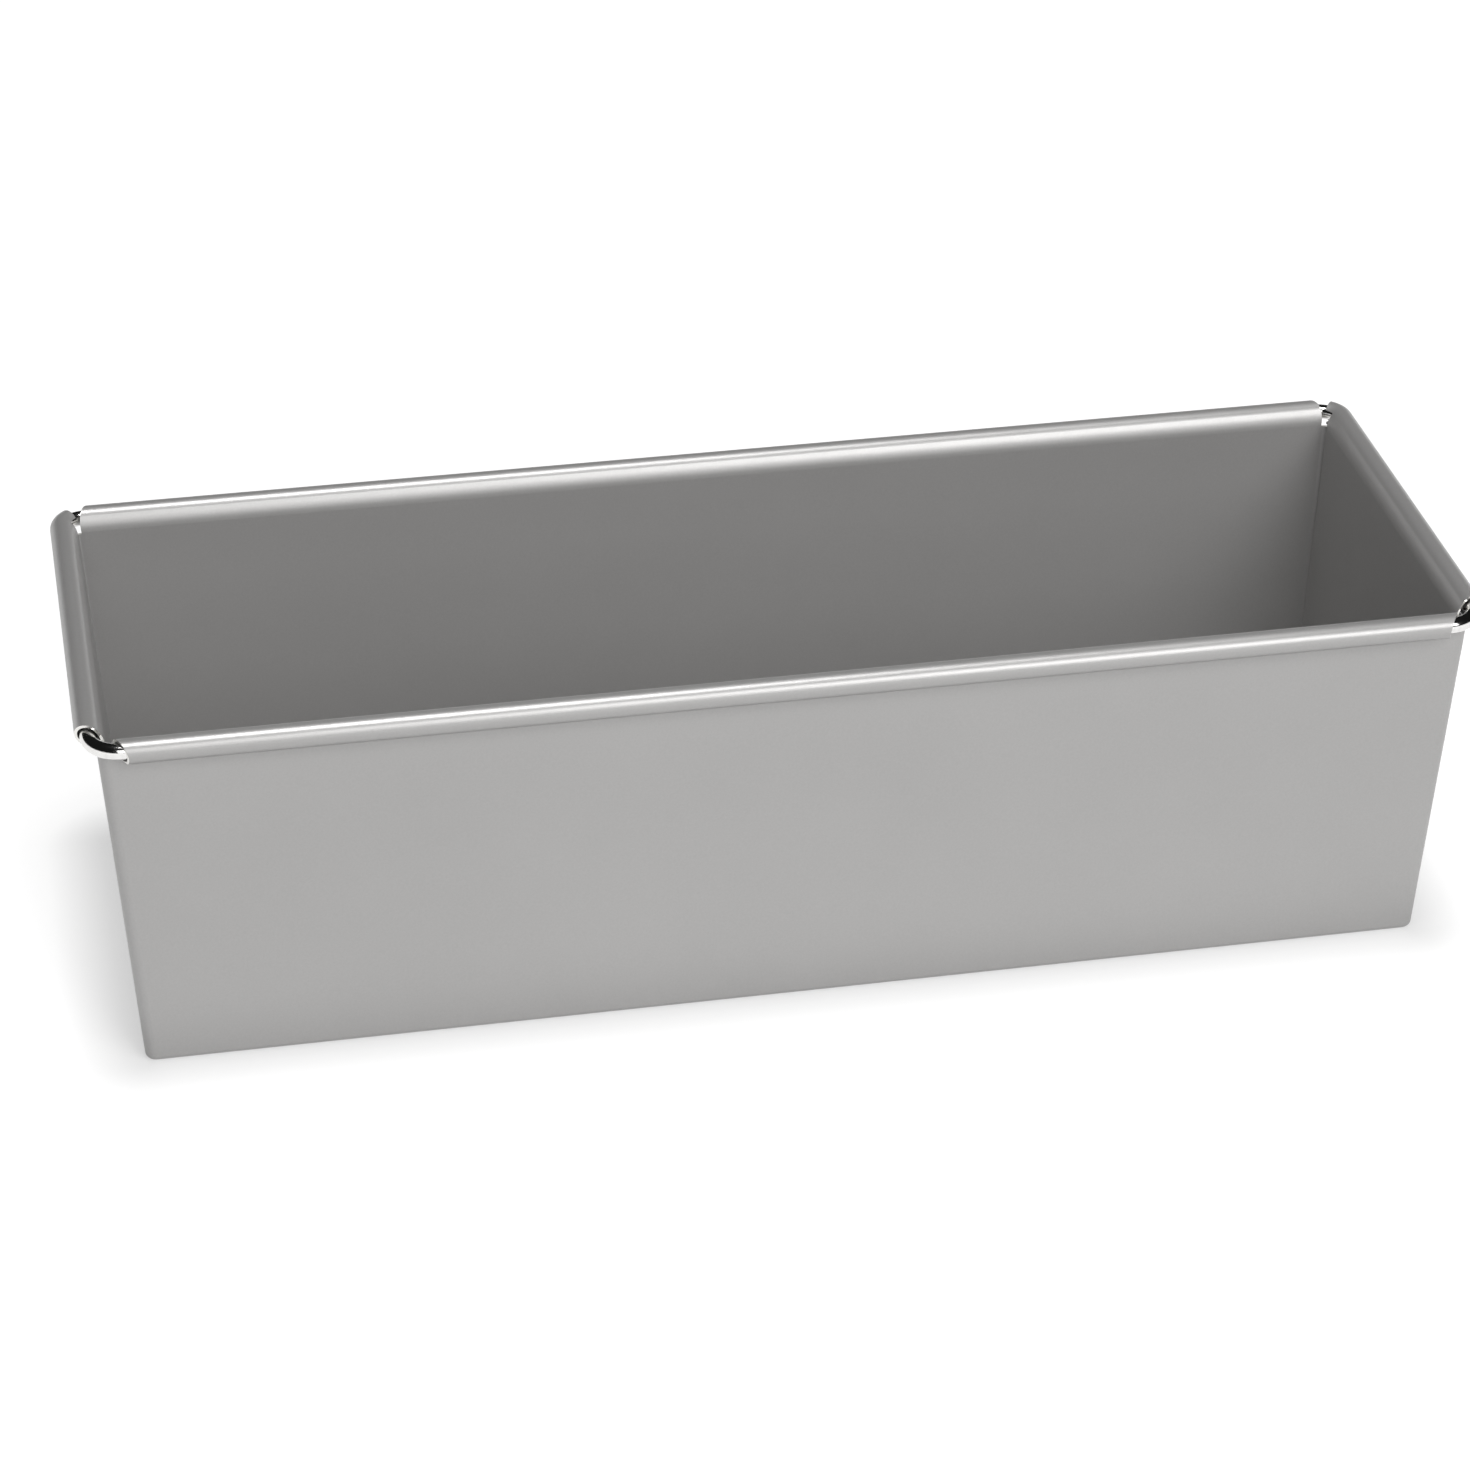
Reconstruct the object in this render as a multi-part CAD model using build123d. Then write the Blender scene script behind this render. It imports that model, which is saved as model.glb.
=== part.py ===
from build123d import *
import os
from math import acos, asin, atan2, cos, degrees, hypot, radians, sin, sqrt, tan

# A loaf pan: one sheet blank folded up like an envelope, with its rim rolled over a wire.
# Millimetres. X runs along the pan, Y across it with the front at -Y, Z up.
# The origin is the middle of the underside.

# Overall sizes
overall_length = 300.0
overall_width = 109.0
overall_height = 84.0
end_flare = 10.5  # from the foot of an end wall out to the edge of its hem
side_flare = 9.5  # the same at a side wall

# Sheet and its folds
sheet = 0.6
fold_gap = 0.1  # between two layers that lie on each other
floor_bend_radius = 1.5  # outside of the bends round the floor
corner_bend_radius = 2.4  # outside of the side wall's bend into an ear
ear_spacing = 8.0  # between the two ears on one end wall

# Rim wire
wire_diameter = 3.4
front_wire_bend = 7.0  # radius of the wire's middle line
rear_wire_bend = 5.0
wire_clearance = 0.4  # between the wire and the sheet rolled round it

# Rolled hems
shoulder_radius = 6.5  # where a wall turns into its hem
notch_gap = 0.2  # from the bare wire down to the notched sheet at a corner
side_curl_gap = 0.25  # between the free edge of a side hem and its wall
hem_mitre = 27.0  # degrees, of a hem's cut end seen from above
hem_slant = 10.0  # degrees, of a hem's cut end seen from the side
front_hem_setback = 0.1  # from where the wire's bend would touch the cut end
rear_hem_setback = 1.0
end_hem_setback = 1.5
end_hem_wrap = 50.0  # degrees that an end hem follows the rear bend of the wire

# Floor, between the outer faces of the walls
base_length = overall_length - 2 * end_flare
base_width = overall_width - 2 * side_flare

# Hem roll, worked out from the wire
wire_radius = wire_diameter / 2
hem_radius = wire_radius + wire_clearance + sheet
hem_height = overall_height - hem_radius
side_hem_y = overall_width / 2 - hem_radius
end_hem_x = overall_length / 2 - hem_radius

# The shoulder before the roll: how far its centre lies outward and how far it drops
shoulder_offset = shoulder_radius - hem_radius
shoulder_drop = sqrt(sheet * (2 * shoulder_offset - sheet))
notch_height = hem_height - max(wire_radius, shoulder_drop) - notch_gap

# How far a hem's cut end leans past its place at the middle of the roll, on the inside
cut_across = tan(radians(hem_mitre))
cut_up = tan(radians(hem_slant))
cut_reach = (hem_radius - sheet) * hypot(cut_across, cut_up)

# Layers outside an end wall, as distances of their outer faces from the wall's outer face
inner_ear_face = fold_gap + sheet
outer_ear_face = inner_ear_face + fold_gap + sheet
end_curl_gap = outer_ear_face + fold_gap


def wall_lean(half_base, hem_place):
    """Degrees from upright of a wall that starts at half_base and is tangent to its hem."""
    run = hem_place - half_base
    return degrees(atan2(run, hem_height) - asin(hem_radius / hypot(run, hem_height)))


side_lean = wall_lean(base_width / 2, side_hem_y)
end_lean = wall_lean(base_length / 2, end_hem_x)
side_rise = tan(radians(side_lean))
end_rise = tan(radians(end_lean))

# Directions: outward from the two walls at the rear right corner, up the end wall,
# and along the corner where the two walls meet
side_normal = Vector(0, cos(radians(side_lean)), -sin(radians(side_lean)))
end_normal = Vector(cos(radians(end_lean)), 0, -sin(radians(end_lean)))
end_up = Vector(sin(radians(end_lean)), 0, cos(radians(end_lean)))
corner_edge = Vector(end_rise, side_rise, 1)
corner_along = corner_edge.normalized()

# Middle line of the corner bend, where it crosses the floor's underside
bend_foot = Vector(
    base_length / 2 + (outer_ear_face - corner_bend_radius) / end_normal.X,
    base_width / 2 - corner_bend_radius / side_normal.Y,
    0,
)


def polar(centre, radius, angle):
    """Point of a flat section at an angle in degrees round a centre."""
    return (
        centre[0] + radius * cos(radians(angle)),
        centre[1] + radius * sin(radians(angle)),
    )


def arc(centre, radius, start, end):
    """Arc of a flat section between two angles in degrees."""
    return ThreePointArc(
        polar(centre, radius, start),
        polar(centre, radius, (start + end) / 2),
        polar(centre, radius, end),
    )


def ring_sector(inner, outer, start, end, centre=(0, 0)):
    """Flat face between two arcs round one centre."""
    return make_face(
        Wire(
            [
                arc(centre, outer, start, end),
                Line(polar(centre, outer, end), polar(centre, inner, end)),
                arc(centre, inner, end, start),
                Line(polar(centre, inner, start), polar(centre, outer, start)),
            ]
        )
    )


def hem_angles(curl_gap):
    """Angles of the roll from the wall's outward normal: where it starts and stops."""
    start = 180 - degrees(asin(shoulder_drop / shoulder_offset))
    stop = degrees(acos(1 - curl_gap / hem_radius)) - 180
    return start, stop


def wall_section(half_base, hem_place, lean, curl_gap):
    """Half floor, wall and hem as one bent strip, in outward and upward coordinates."""
    start, stop = hem_angles(curl_gap)
    roll = (hem_place, hem_height)
    outward = polar(roll, shoulder_offset - sheet, -lean)
    shoulder = polar(outward, shoulder_drop, -90 - lean)
    floor_bend = (
        half_base - floor_bend_radius * tan(radians((90 - lean) / 2)),
        floor_bend_radius,
    )
    bend_inside = floor_bend_radius - sheet
    shoulder_inside = shoulder_radius - sheet
    hem_inside = hem_radius - sheet
    flat = 180 - lean
    return make_face(
        Wire(
            [
                Line((0, 0), (floor_bend[0], 0)),
                arc(floor_bend, floor_bend_radius, -90, -lean),
                Line(
                    polar(floor_bend, floor_bend_radius, -lean),
                    polar(shoulder, shoulder_inside, flat),
                ),
                arc(shoulder, shoulder_inside, flat, start - lean),
                arc(roll, hem_inside, start - lean, stop - lean),
                Line(
                    polar(roll, hem_inside, stop - lean),
                    polar(roll, hem_radius, stop - lean),
                ),
                arc(roll, hem_radius, stop - lean, start - lean),
                arc(shoulder, shoulder_radius, start - lean, flat),
                Line(
                    polar(shoulder, shoulder_radius, flat),
                    polar(floor_bend, bend_inside, -lean),
                ),
                arc(floor_bend, bend_inside, -lean, -90),
                Line((floor_bend[0], sheet), (0, sheet)),
                Line((0, sheet), (0, 0)),
            ]
        )
    )


def beyond(origin, normal):
    """Everything on the side of a plane that its normal points to, as one large block."""
    reach = 2 * overall_length
    plane = Plane(origin=origin, z_dir=normal)
    return plane * Box(reach, reach, reach, align=(Align.CENTER, Align.CENTER, Align.MIN))


above_notch = beyond((0, 0, notch_height), (0, 0, 1))
below_floor = beyond((0, 0, 0), (0, 0, -1))
# Below the notch, the side wall and the end wall stop where the corner bend starts
past_side_wall = beyond(bend_foot, corner_along.cross(-side_normal)) - above_notch
past_end_wall = beyond(bend_foot, corner_along.cross(end_normal)) - above_notch


def hem_room(foot, normal, gap):
    """Everything above the notch, and below it what lies outside the wall by a gap."""
    return above_notch + beyond(foot + normal * gap, normal)


side_foot = Vector(0, base_width / 2, 0)
end_foot = Vector(base_length / 2, 0, 0)
side_hem_room = hem_room(side_foot, side_normal, side_curl_gap / 2)
end_hem_room = hem_room(end_foot, end_normal, (outer_ear_face + end_curl_gap) / 2)


def hem_end(wire_bend, setback):
    """How far past the start of the wire's bend a hem goes, at the middle of its roll."""
    inside_bend = wire_bend - wire_radius
    touch = sqrt(inside_bend**2 - (inside_bend - wire_clearance) ** 2)
    return touch - cut_reach - setback


def side_panel(wire_bend, setback):
    """Floor half, rear side wall and its hem, whose ends stop at the wire's bends."""
    section = wall_section(base_width / 2, side_hem_y, side_lean, side_curl_gap)
    plane = Plane(origin=(-overall_length / 2, 0, 0), x_dir=(0, 1, 0), z_dir=(1, 0, 0))
    strip = extrude(plane * section, amount=overall_length)
    end_x = end_hem_x - wire_bend + hem_end(wire_bend, setback)
    hem_cut = beyond((end_x, side_hem_y, hem_height), (1, cut_across, -cut_up))
    waste = past_side_wall + (hem_cut & side_hem_room)
    return strip - waste - mirror(waste, about=Plane.YZ)


def wrapped_hem():
    """Part of the right end hem that follows the wire's rear bend."""
    start, stop = hem_angles(end_curl_gap)
    wrap_y = side_hem_y - rear_wire_bend
    roll = (end_hem_x, hem_height)
    curl = ring_sector(
        hem_radius - sheet, hem_radius, stop - end_lean, start - end_lean, roll
    )
    plane = Plane(origin=(0, wrap_y, 0), x_dir=(1, 0, 0), z_dir=(0, -1, 0))
    axis = Axis((end_hem_x - rear_wire_bend, wrap_y, 0), (0, 0, 1))
    return revolve(plane * curl, axis=axis, revolution_arc=end_hem_wrap)


def end_panel():
    """Floor half, right end wall and its hem, which wraps round the rear bend."""
    section = wall_section(base_length / 2, end_hem_x, end_lean, end_curl_gap)
    plane = Plane(origin=(0, overall_width / 2, 0), x_dir=(1, 0, 0), z_dir=(0, -1, 0))
    strip = extrude(plane * section, amount=overall_width)
    front_y = front_wire_bend - side_hem_y - hem_end(front_wire_bend, end_hem_setback)
    front_cut = beyond((end_hem_x, front_y, hem_height), (cut_across, -1, -cut_up))
    rear_cut = beyond((0, side_hem_y - rear_wire_bend, 0), (0, 1, 0))
    strip -= past_end_wall + (rear_cut & end_hem_room)
    strip -= mirror(past_end_wall, about=Plane.XZ) + (front_cut & end_hem_room)
    return strip + wrapped_hem()


def leaning_block(end_offset, side_offset, floor_height, bend, floor_bend):
    """Block whose faces lie at set distances outside the walls, with rounded edges."""
    levels = []
    for height in (floor_height, notch_height):
        half_x = base_length / 2 + end_offset / end_normal.X + height * end_rise
        half_y = base_width / 2 + side_offset / side_normal.Y + height * side_rise
        levels.append(Pos(0, 0, height) * Rectangle(2 * half_x, 2 * half_y))
    block = loft(Sketch() + levels, ruled=True)
    block = fillet(block.edges().group_by(Axis.Z)[1], bend)
    return fillet(block.edges().group_by(Axis.Z)[0], floor_bend)


def fold(foot, along, towards):
    """Sheet turned back on itself round a line, with its rounded edge towards a side."""
    reach = 2 * overall_length
    section = ring_sector(fold_gap / 2, fold_gap / 2 + sheet, -90, 90)
    plane = Plane(origin=foot - along * (reach / 2), x_dir=towards, z_dir=along)
    return extrude(plane * section, amount=reach)


def rear_right_corner():
    """Bend of the side wall round the corner, and the double ear behind the end wall."""
    outline = leaning_block(outer_ear_face, 0, 0, corner_bend_radius, floor_bend_radius)
    hollow = leaning_block(
        outer_ear_face - sheet,
        -sheet,
        sheet,
        corner_bend_radius - sheet,
        floor_bend_radius - sheet,
    )
    bend = (outline - hollow) & past_side_wall & past_end_wall

    # Angle between the two corner edges in the flat blank, halved by the ear's fold
    spare = 360 - 90 - corner_edge.get_angle(Vector(-1, 0, 0))
    spare -= corner_edge.get_angle(Vector(0, -1, 0))
    ear_angle = radians(spare / 2)

    # The ear in the plane of the end wall, in coordinates across and up that wall
    wall_plane = Plane(origin=end_foot, x_dir=(0, 1, 0), z_dir=end_normal)
    foot = wall_plane.to_local_coords(bend_foot)
    edge = Vector(corner_along.Y, corner_along.dot(end_up))
    crease = edge.rotate(Axis.Z, degrees(ear_angle))
    reach = overall_length
    ear_outline = make_face(
        Polyline(
            (foot.X, foot.Y),
            (foot.X + reach * edge.X, foot.Y + reach * edge.Y),
            (foot.X + reach * crease.X, foot.Y + reach * crease.Y),
            close=True,
        )
    )
    inner_ear = extrude(wall_plane.offset(fold_gap) * ear_outline, amount=sheet)
    outer_ear = extrude(
        wall_plane.offset(outer_ear_face - sheet) * ear_outline, amount=sheet
    )

    crease_along = Vector(0, crease.X, 0) + end_up * crease.Y
    crease_foot = bend_foot + end_normal * (
        corner_bend_radius - outer_ear_face + inner_ear_face + fold_gap / 2
    )
    crease_fold = fold(crease_foot, crease_along, end_normal.cross(-crease_along))
    edge_foot = bend_foot + end_normal * (
        corner_bend_radius - outer_ear_face + fold_gap / 2
    )
    edge_fold = fold(edge_foot, corner_along, end_normal.cross(-corner_along))

    past_ear = beyond((0, ear_spacing / 2, 0), (0, -1, 0))
    ears = inner_ear + outer_ear + crease_fold
    ears = (ears - past_ear) + edge_fold
    ears -= above_notch + below_floor
    return bend + (ears & outline)


def pan_body():
    """The folded sheet: floor, four walls with hems, and four ears, all one blank."""
    rear = side_panel(rear_wire_bend, rear_hem_setback)
    front = mirror(side_panel(front_wire_bend, front_hem_setback), about=Plane.XZ)
    right = end_panel()
    left = mirror(right, about=Plane.YZ)
    right_corner = rear_right_corner()
    left_corner = mirror(right_corner, about=Plane.YZ)
    corners = [right_corner, left_corner]
    corners += [mirror(corner, about=Plane.XZ) for corner in corners]
    body = rear + front + right + left
    for corner in corners:
        body += corner
    return body


def wire_run(start, end):
    """Straight stretch of the rim wire."""
    along = Vector(*end) - Vector(*start)
    plane = Plane(origin=start, z_dir=along)
    return extrude(plane * Circle(wire_radius), amount=along.length)


def wire_corner(side, depth, bend):
    """Quarter bend of the rim wire; side is 1 at the right, depth is 1 at the rear."""
    centre_x = side * (end_hem_x - bend)
    centre_y = depth * (side_hem_y - bend)
    plane = Plane(
        origin=(centre_x + side * bend, centre_y, hem_height),
        x_dir=(1, 0, 0),
        z_dir=(0, -1, 0),
    )
    axis = Axis((centre_x, centre_y, 0), (0, 0, side * depth))
    return revolve(plane * Circle(wire_radius), axis=axis, revolution_arc=90)


def rim_wire():
    """Closed frame of round wire inside the four hems, bare at its corners."""
    rear_x = end_hem_x - rear_wire_bend
    front_x = end_hem_x - front_wire_bend
    rear_y = side_hem_y - rear_wire_bend
    front_y = front_wire_bend - side_hem_y
    frame = wire_run((-rear_x, side_hem_y, hem_height), (rear_x, side_hem_y, hem_height))
    frame += wire_run(
        (-front_x, -side_hem_y, hem_height), (front_x, -side_hem_y, hem_height)
    )
    for side in (-1, 1):
        x = side * end_hem_x
        frame += wire_run((x, front_y, hem_height), (x, rear_y, hem_height))
        frame += wire_corner(side, 1, rear_wire_bend)
        frame += wire_corner(side, -1, front_wire_bend)
    return frame


os.makedirs("parts", exist_ok=True)
export_step(pan_body(), "parts/pan_body.step")
export_step(rim_wire(), "parts/rim_wire.step")
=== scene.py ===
from math import cos, pi, radians, sin, tan

import bpy
from mathutils import Matrix, Vector

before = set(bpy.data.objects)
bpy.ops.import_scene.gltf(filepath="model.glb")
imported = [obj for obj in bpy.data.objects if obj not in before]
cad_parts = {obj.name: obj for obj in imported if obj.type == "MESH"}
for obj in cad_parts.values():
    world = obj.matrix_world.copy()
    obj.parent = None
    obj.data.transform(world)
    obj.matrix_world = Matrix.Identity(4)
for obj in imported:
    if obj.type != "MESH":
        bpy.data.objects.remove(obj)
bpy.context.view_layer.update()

MM = 0.001

# Camera, fitted to the straight edges in the photo
IMAGE_SIDE = 1471
FOCAL_PIXELS = 4385.4
CAMERA_YAW = -0.18727
CAMERA_PITCH = 0.53453
CAMERA_DISTANCE = 974.577 * MM
CAMERA_TARGET = Vector((-4.704, 0, 40.001)) * MM
SENSOR = 36

# Studio lights: degrees round from the front, degrees up, distance, width and height in
# metres, and the light that each gives the pan, where pi lights a white sheet to white
LIGHT_TARGET = Vector((0, 0, 40)) * MM
LIGHTS = {
    "front": (0, 30, 2.0, 1.4, 1.4, 0.98),
    "front_right": (25, 35, 2.0, 1.0, 1.0, 1.14),
    "overhead": (0, 85, 1.6, 0.5, 0.6, 1.55),
}

# Floor, whose lift is the white that only the camera and reflections see: least where
# the pan meets the floor, a painted shade round its foot that the pan also reflects,
# more past that painted shade, most where the lights fall off
FLOOR_HALF = 30
FLOOR_GAP = 0.05 * MM  # keeps the floor off the pan's underside
FLOOR_COLOUR = 0.4
FOOT_HALF = (139.5 * MM, 45 * MM)
PAINTED_SHADE_LIFT = 0.54
LIFT_AROUND = 0.82
LIFT_FAR = 1.0
PAINTED_SHADE_REACH = 18 * MM
FALLOFF_START = 0.1
FALLOFF_END = 1.2

# Room, whose backdrop is white in reflections up to a height given as a sine
ROOM_LEVEL = 0.01
BACKDROP_TOP = 0.13

# Noise: the part of its range that is spread over what it varies
NOISE_ROUGHNESS = 0.6
NOISE_LOW = 0.3
NOISE_HIGH = 0.7

# Coated sheet: its tone in green, red and blue beside it, and how each varies
SHEET_TONE = 0.46
SHEET_RED = 1.012
SHEET_BLUE = 0.989
SHEET_METALLIC = 0.4
SHEET_ROUGHNESS = 0.36
GRAIN_SCALE = 2200
GRAIN_SPREAD = 0.013
CLOUD_SCALE = 35
CLOUD_SPREAD = 0.005
GLOSS_SCALE = 500
GLOSS_SPREAD = 0.01
BUMP_STRENGTH = 0.15
BUMP_DISTANCE = 0.02 * MM

# Bare steel of the cut edges
STEEL_COLOUR = (0.86, 0.85, 0.82)
STEEL_METALLIC = 0.8
STEEL_ROUGHNESS = 0.3

# Drawn wire: its tone in red, green and blue beside it
WIRE_TONE = (0.72, 0.78)
WIRE_GREEN = 0.99
WIRE_BLUE = 0.975
WIRE_ROUGHNESS = (0.09, 0.15)
WIRE_GRAIN_SCALE = 900
WIRE_GLOSS_SCALE = 400

# Where the cut edges are: the mitre and slant of the hems' ends, the angle that an end
# hem follows round the rear corner, and the places that keep these faces apart
HEM_MITRE = radians(27)
HEM_SLANT = radians(10)
END_HEM_WRAP = radians(50)
SIDE_HEM_REACH = 144 * MM
NOTCH_HEIGHT = 79.05 * MM
NOTCH_BAND = 0.1 * MM
FACE_MATCH = 0.995


def make_camera():
    data = bpy.data.cameras.new("camera")
    data.sensor_width = SENSOR
    data.lens = FOCAL_PIXELS * SENSOR / IMAGE_SIDE
    data.clip_start = 0.05
    data.clip_end = 100
    camera = bpy.data.objects.new("camera", data)
    back = Vector((
        sin(CAMERA_YAW) * cos(CAMERA_PITCH),
        -cos(CAMERA_YAW) * cos(CAMERA_PITCH),
        sin(CAMERA_PITCH),
    ))
    right = Vector((cos(CAMERA_YAW), sin(CAMERA_YAW), 0))
    up = back.cross(right)
    turn = Matrix((right, up, back)).transposed().to_4x4()
    camera.matrix_world = Matrix.Translation(CAMERA_TARGET + back * CAMERA_DISTANCE) @ turn
    bpy.context.scene.collection.objects.link(camera)
    bpy.context.scene.camera = camera


def make_light(name, azimuth, elevation, distance, width, height, level):
    data = bpy.data.lights.new(name, "AREA")
    data.shape = "RECTANGLE"
    data.size = width
    data.size_y = height
    data.energy = pi * distance**2 * level
    light = bpy.data.objects.new(name, data)
    round_by, up_by = radians(azimuth), radians(elevation)
    towards = Vector((sin(round_by) * cos(up_by), -cos(round_by) * cos(up_by), sin(up_by)))
    light.location = LIGHT_TARGET + towards * distance
    light.rotation_euler = (-towards).to_track_quat("-Z", "Y").to_euler()
    bpy.context.scene.collection.objects.link(light)


class Nodes:
    """Short calls for adding and linking shader nodes."""

    def __init__(self, tree):
        tree.nodes.clear()
        self.tree = tree

    def add(self, kind, inputs=(), **settings):
        node = self.tree.nodes.new(kind)
        for key, value in settings.items():
            setattr(node, key, value)
        for key, value in dict(inputs).items():
            self.put(node.inputs[key], value)
        return node

    def put(self, socket, value):
        if isinstance(value, bpy.types.NodeSocket):
            self.tree.links.new(value, socket)
        else:
            socket.default_value = value

    def math(self, operation, *values):
        node = self.add("ShaderNodeMath", operation=operation)
        for socket, value in zip(node.inputs, values):
            self.put(socket, value)
        return node.outputs[0]

    def ramp(self, value, low, high, out_low=0.0, out_high=1.0):
        node = self.add("ShaderNodeMapRange")
        for socket, setting in zip(node.inputs, (value, low, high, out_low, out_high)):
            self.put(socket, setting)
        return node.outputs[0]

    def noise(self, vector, scale, detail, low, high):
        """Noise that runs from one value to another."""
        settings = {
            "Vector": vector,
            "Scale": scale,
            "Detail": detail,
            "Roughness": NOISE_ROUGHNESS,
        }
        fac = self.add("ShaderNodeTexNoise", settings).outputs["Fac"]
        return self.ramp(fac, NOISE_LOW, NOISE_HIGH, low, high)

    def mix(self, factor, a, b):
        node = self.add("ShaderNodeMix")
        for socket, value in zip(node.inputs, (factor, None, a, b)):
            if value is not None:
                self.put(socket, value)
        return node.outputs[0]

    def dot(self, vector, direction):
        sides = {0: vector, 1: direction}
        node = self.add("ShaderNodeVectorMath", sides, operation="DOT_PRODUCT")
        return node.outputs["Value"]

    def place(self):
        """The point in the piece's own frame."""
        return self.add("ShaderNodeTexCoord").outputs["Object"]

    def split(self, vector):
        return self.add("ShaderNodeSeparateXYZ", {0: vector}).outputs

    def colour(self, red, green, blue):
        return self.add("ShaderNodeCombineColor", {0: red, 1: green, 2: blue}).outputs[0]

    def output(self, kind, shader):
        self.tree.links.new(shader, self.add(kind).inputs[0])


def new_material(name):
    material = bpy.data.materials.new(name)
    material.use_nodes = True
    return material, Nodes(material.node_tree)


def cut_faces(n):
    """1 on the sheet's cut edges at the ends of the hems and on top of the notches."""
    x, y, z = n.split(n.place())
    nx, ny, nz = n.split(n.add("ShaderNodeNewGeometry").outputs["True Normal"])
    # The normal as if the point were in the rear right quarter
    outward = n.add("ShaderNodeCombineXYZ", {
        0: n.math("MULTIPLY", nx, n.math("SIGN", x)),
        1: n.math("MULTIPLY", ny, n.math("SIGN", y)),
        2: nz,
    }).outputs[0]

    def facing(direction):
        match = n.dot(outward, Vector(direction).normalized())
        return n.math("GREATER_THAN", match, FACE_MATCH)

    def both(a, b):
        return n.math("MULTIPLY", a, b)

    above_notch = n.math("GREATER_THAN", z, NOTCH_HEIGHT)
    in_side_hem = n.math("LESS_THAN", n.math("ABSOLUTE", x), SIDE_HEM_REACH)
    at_front = n.math("LESS_THAN", y, 0)
    at_rear = n.math("GREATER_THAN", y, 0)
    side_ends = both(facing((1, tan(HEM_MITRE), -tan(HEM_SLANT))), in_side_hem)
    front_ends = both(facing((tan(HEM_MITRE), 1, -tan(HEM_SLANT))), at_front)
    rear_ends = both(facing((-sin(END_HEM_WRAP), cos(END_HEM_WRAP), 0)), at_rear)
    ends = n.math("MAXIMUM", side_ends, n.math("MAXIMUM", front_ends, rear_ends))
    at_notch = n.math("COMPARE", z, NOTCH_HEIGHT, NOTCH_BAND)
    notch_tops = both(facing((0, 0, 1)), at_notch)
    return n.math("MAXIMUM", both(ends, above_notch), notch_tops)


def coated_material():
    """Satin grey coating over a smooth sheet, with bare steel at the cut edges."""
    material, n = new_material("coated_sheet")
    place = n.place()
    grain = n.noise(place, GRAIN_SCALE, 3, -GRAIN_SPREAD, GRAIN_SPREAD)
    cloud = n.noise(place, CLOUD_SCALE, 2, -CLOUD_SPREAD, CLOUD_SPREAD)
    tone = n.math("ADD", SHEET_TONE, n.math("ADD", grain, cloud))
    coat = (n.math("MULTIPLY", tone, SHEET_RED), tone, n.math("MULTIPLY", tone, SHEET_BLUE))
    bare = cut_faces(n)
    mixed = [n.mix(bare, coated, steel) for coated, steel in zip(coat, STEEL_COLOUR)]
    gloss = n.noise(
        place, GLOSS_SCALE, 2, SHEET_ROUGHNESS - GLOSS_SPREAD, SHEET_ROUGHNESS + GLOSS_SPREAD
    )
    bump = n.add("ShaderNodeBump", {
        "Strength": BUMP_STRENGTH,
        "Distance": BUMP_DISTANCE,
        "Height": grain,
    })
    shader = n.add("ShaderNodeBsdfPrincipled", {
        "Base Color": n.colour(*mixed),
        "Metallic": n.mix(bare, SHEET_METALLIC, STEEL_METALLIC),
        "Roughness": n.mix(bare, gloss, STEEL_ROUGHNESS),
        "Normal": bump.outputs[0],
    })
    n.output("ShaderNodeOutputMaterial", shader.outputs[0])
    return material


def wire_material():
    """Bright wire, slightly uneven in tone and gloss."""
    material, n = new_material("bright_wire")
    place = n.place()
    tone = n.noise(place, WIRE_GRAIN_SCALE, 2, *WIRE_TONE)
    green = n.math("MULTIPLY", tone, WIRE_GREEN)
    blue = n.math("MULTIPLY", tone, WIRE_BLUE)
    shader = n.add("ShaderNodeBsdfPrincipled", {
        "Base Color": n.colour(tone, green, blue),
        "Metallic": 1.0,
        "Roughness": n.noise(place, WIRE_GLOSS_SCALE, 2, *WIRE_ROUGHNESS),
    })
    n.output("ShaderNodeOutputMaterial", shader.outputs[0])
    return material


def seen_ray(n):
    """1 for the camera's rays and for reflections, 0 for the rays that light things."""
    path = n.add("ShaderNodeLightPath").outputs
    seen = n.math("MAXIMUM", path["Is Camera Ray"], path["Is Glossy Ray"])
    return n.math("MAXIMUM", seen, path["Is Transmission Ray"])


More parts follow.
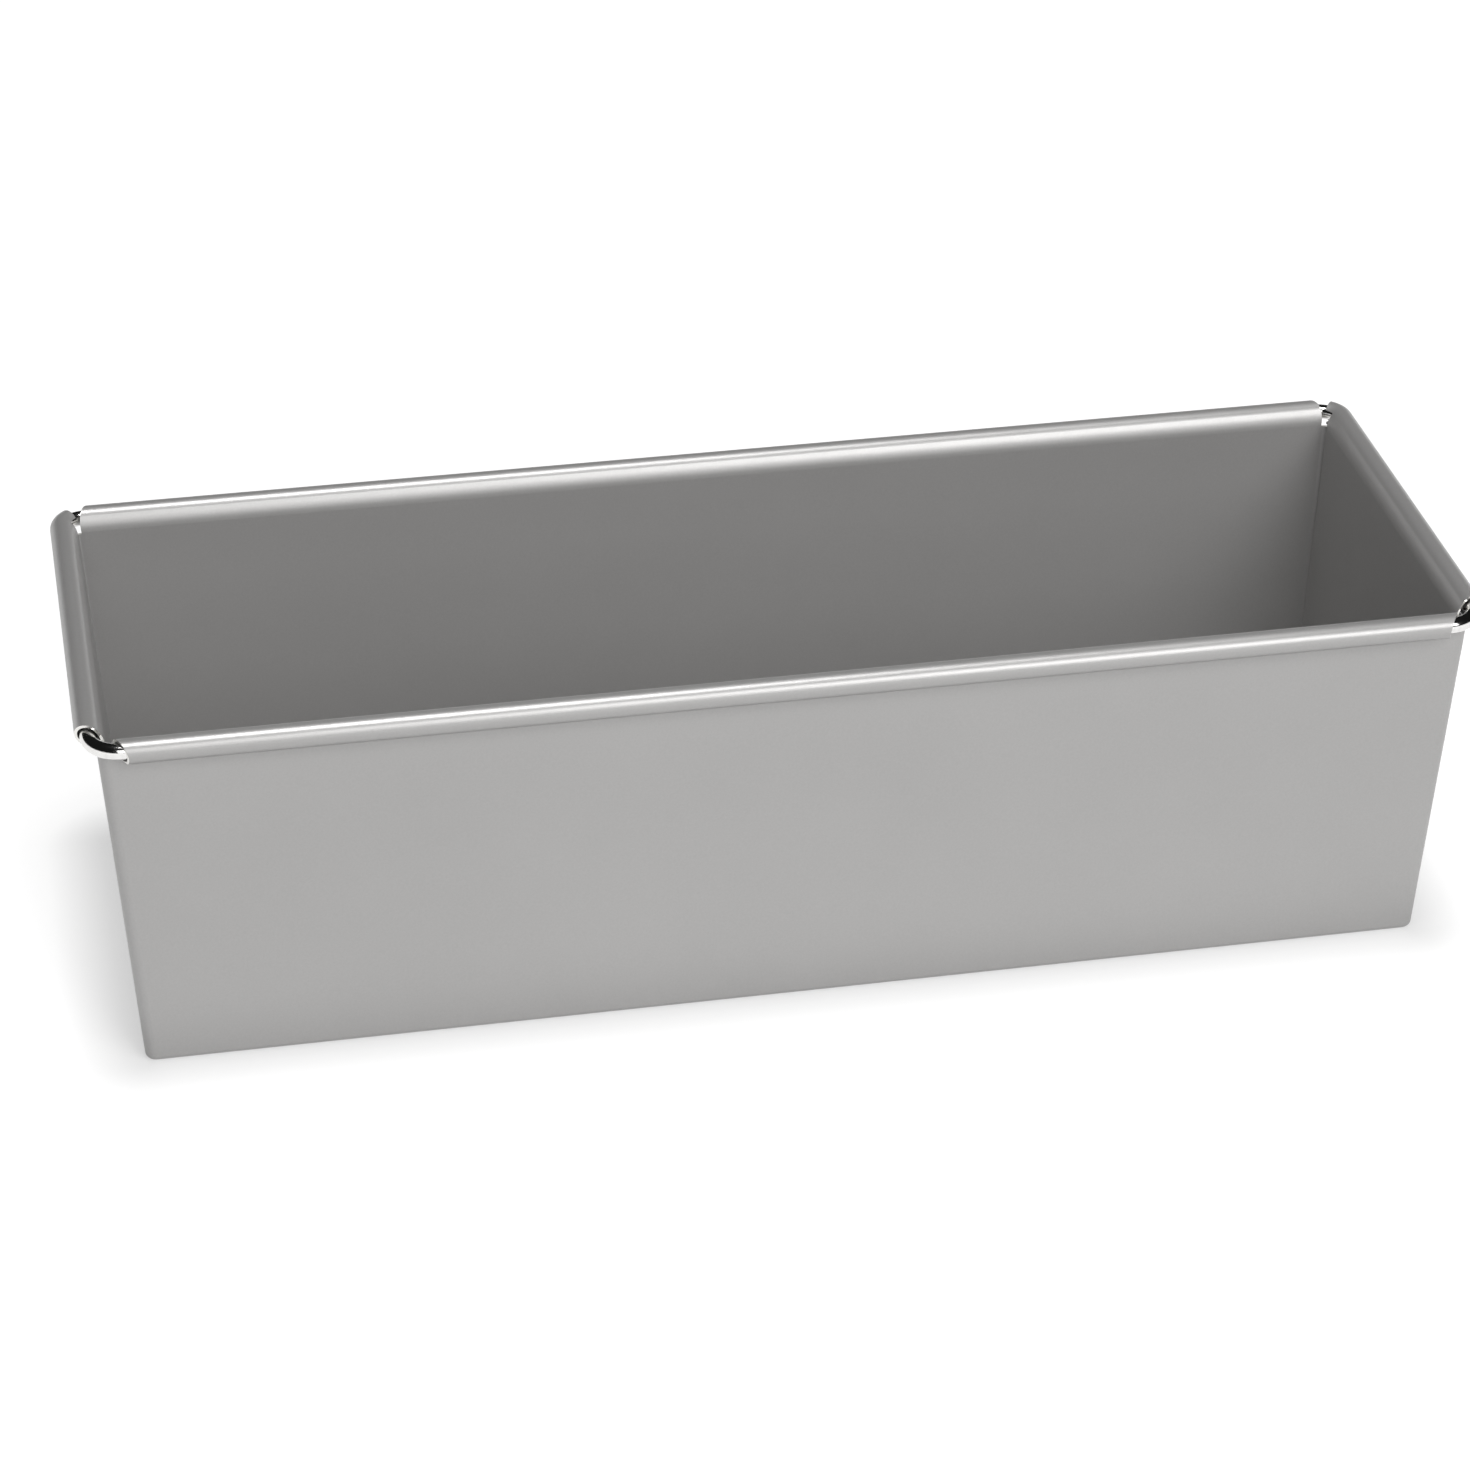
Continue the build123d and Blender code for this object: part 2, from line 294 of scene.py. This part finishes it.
def floor_material():
    material, n = new_material("studio_floor")
    colour = (FLOOR_COLOUR, FLOOR_COLOUR, FLOOR_COLOUR, 1)
    diffuse = n.add("ShaderNodeBsdfDiffuse", {"Color": colour})
    place = n.split(n.place())
    past = [
        n.math("MAXIMUM", n.math("SUBTRACT", n.math("ABSOLUTE", place[axis]), FOOT_HALF[axis]), 0.0)
        for axis in (0, 1)
    ]
    distance = n.math("SQRT", n.math("ADD", *(n.math("POWER", part, 2.0) for part in past)))
    # Painted shade round the pan's foot: the lift is lowest at the foot and rises with distance
    # from it
    level = n.math(
        "ADD",
        n.ramp(distance, 0.0, PAINTED_SHADE_REACH, PAINTED_SHADE_LIFT, LIFT_AROUND),
        n.ramp(distance, FALLOFF_START, FALLOFF_END, 0.0, LIFT_FAR - LIFT_AROUND),
    )
    strength = n.math("MULTIPLY", seen_ray(n), level)
    lift = n.add("ShaderNodeEmission", {"Strength": strength})
    both = n.add("ShaderNodeAddShader", {0: diffuse.outputs[0], 1: lift.outputs[0]})
    n.output("ShaderNodeOutputMaterial", both.outputs[0])
    return material


def make_floor():
    half, low = FLOOR_HALF, -FLOOR_GAP
    mesh = bpy.data.meshes.new("floor")
    corners = [(-half, -half, low), (half, -half, low), (half, half, low), (-half, half, low)]
    mesh.from_pydata(corners, [], [(0, 1, 2, 3)])
    floor = bpy.data.objects.new("floor", mesh)
    bpy.context.scene.collection.objects.link(floor)
    mesh.materials.append(floor_material())


def make_world():
    """A dim room with a white background, and a low white backdrop in reflections."""
    world = bpy.data.worlds.new("studio")
    bpy.context.scene.world = world
    world.use_nodes = True
    n = Nodes(world.node_tree)
    height = n.split(n.add("ShaderNodeTexCoord").outputs["Generated"])[2]
    low = n.math("LESS_THAN", height, BACKDROP_TOP)
    seen = n.add("ShaderNodeLightPath").outputs["Is Camera Ray"]
    white = n.math("MAXIMUM", seen, n.math("MULTIPLY", seen_ray(n), low))
    level = n.mix(white, ROOM_LEVEL, 1.0)
    background = n.add("ShaderNodeBackground", {"Color": (1, 1, 1, 1), "Strength": level})
    n.output("ShaderNodeOutputWorld", background.outputs[0])


def finish_node(name, material):
    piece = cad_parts[name]
    for slot in piece.material_slots:
        slot.material = material
    if not piece.material_slots:
        piece.data.materials.append(material)


bpy.context.scene.view_settings.view_transform = "Standard"
make_camera()
make_world()
make_floor()
for light_name, settings in LIGHTS.items():
    make_light(light_name, *settings)
finish_node("pan_body", coated_material())
finish_node("rim_wire", wire_material())
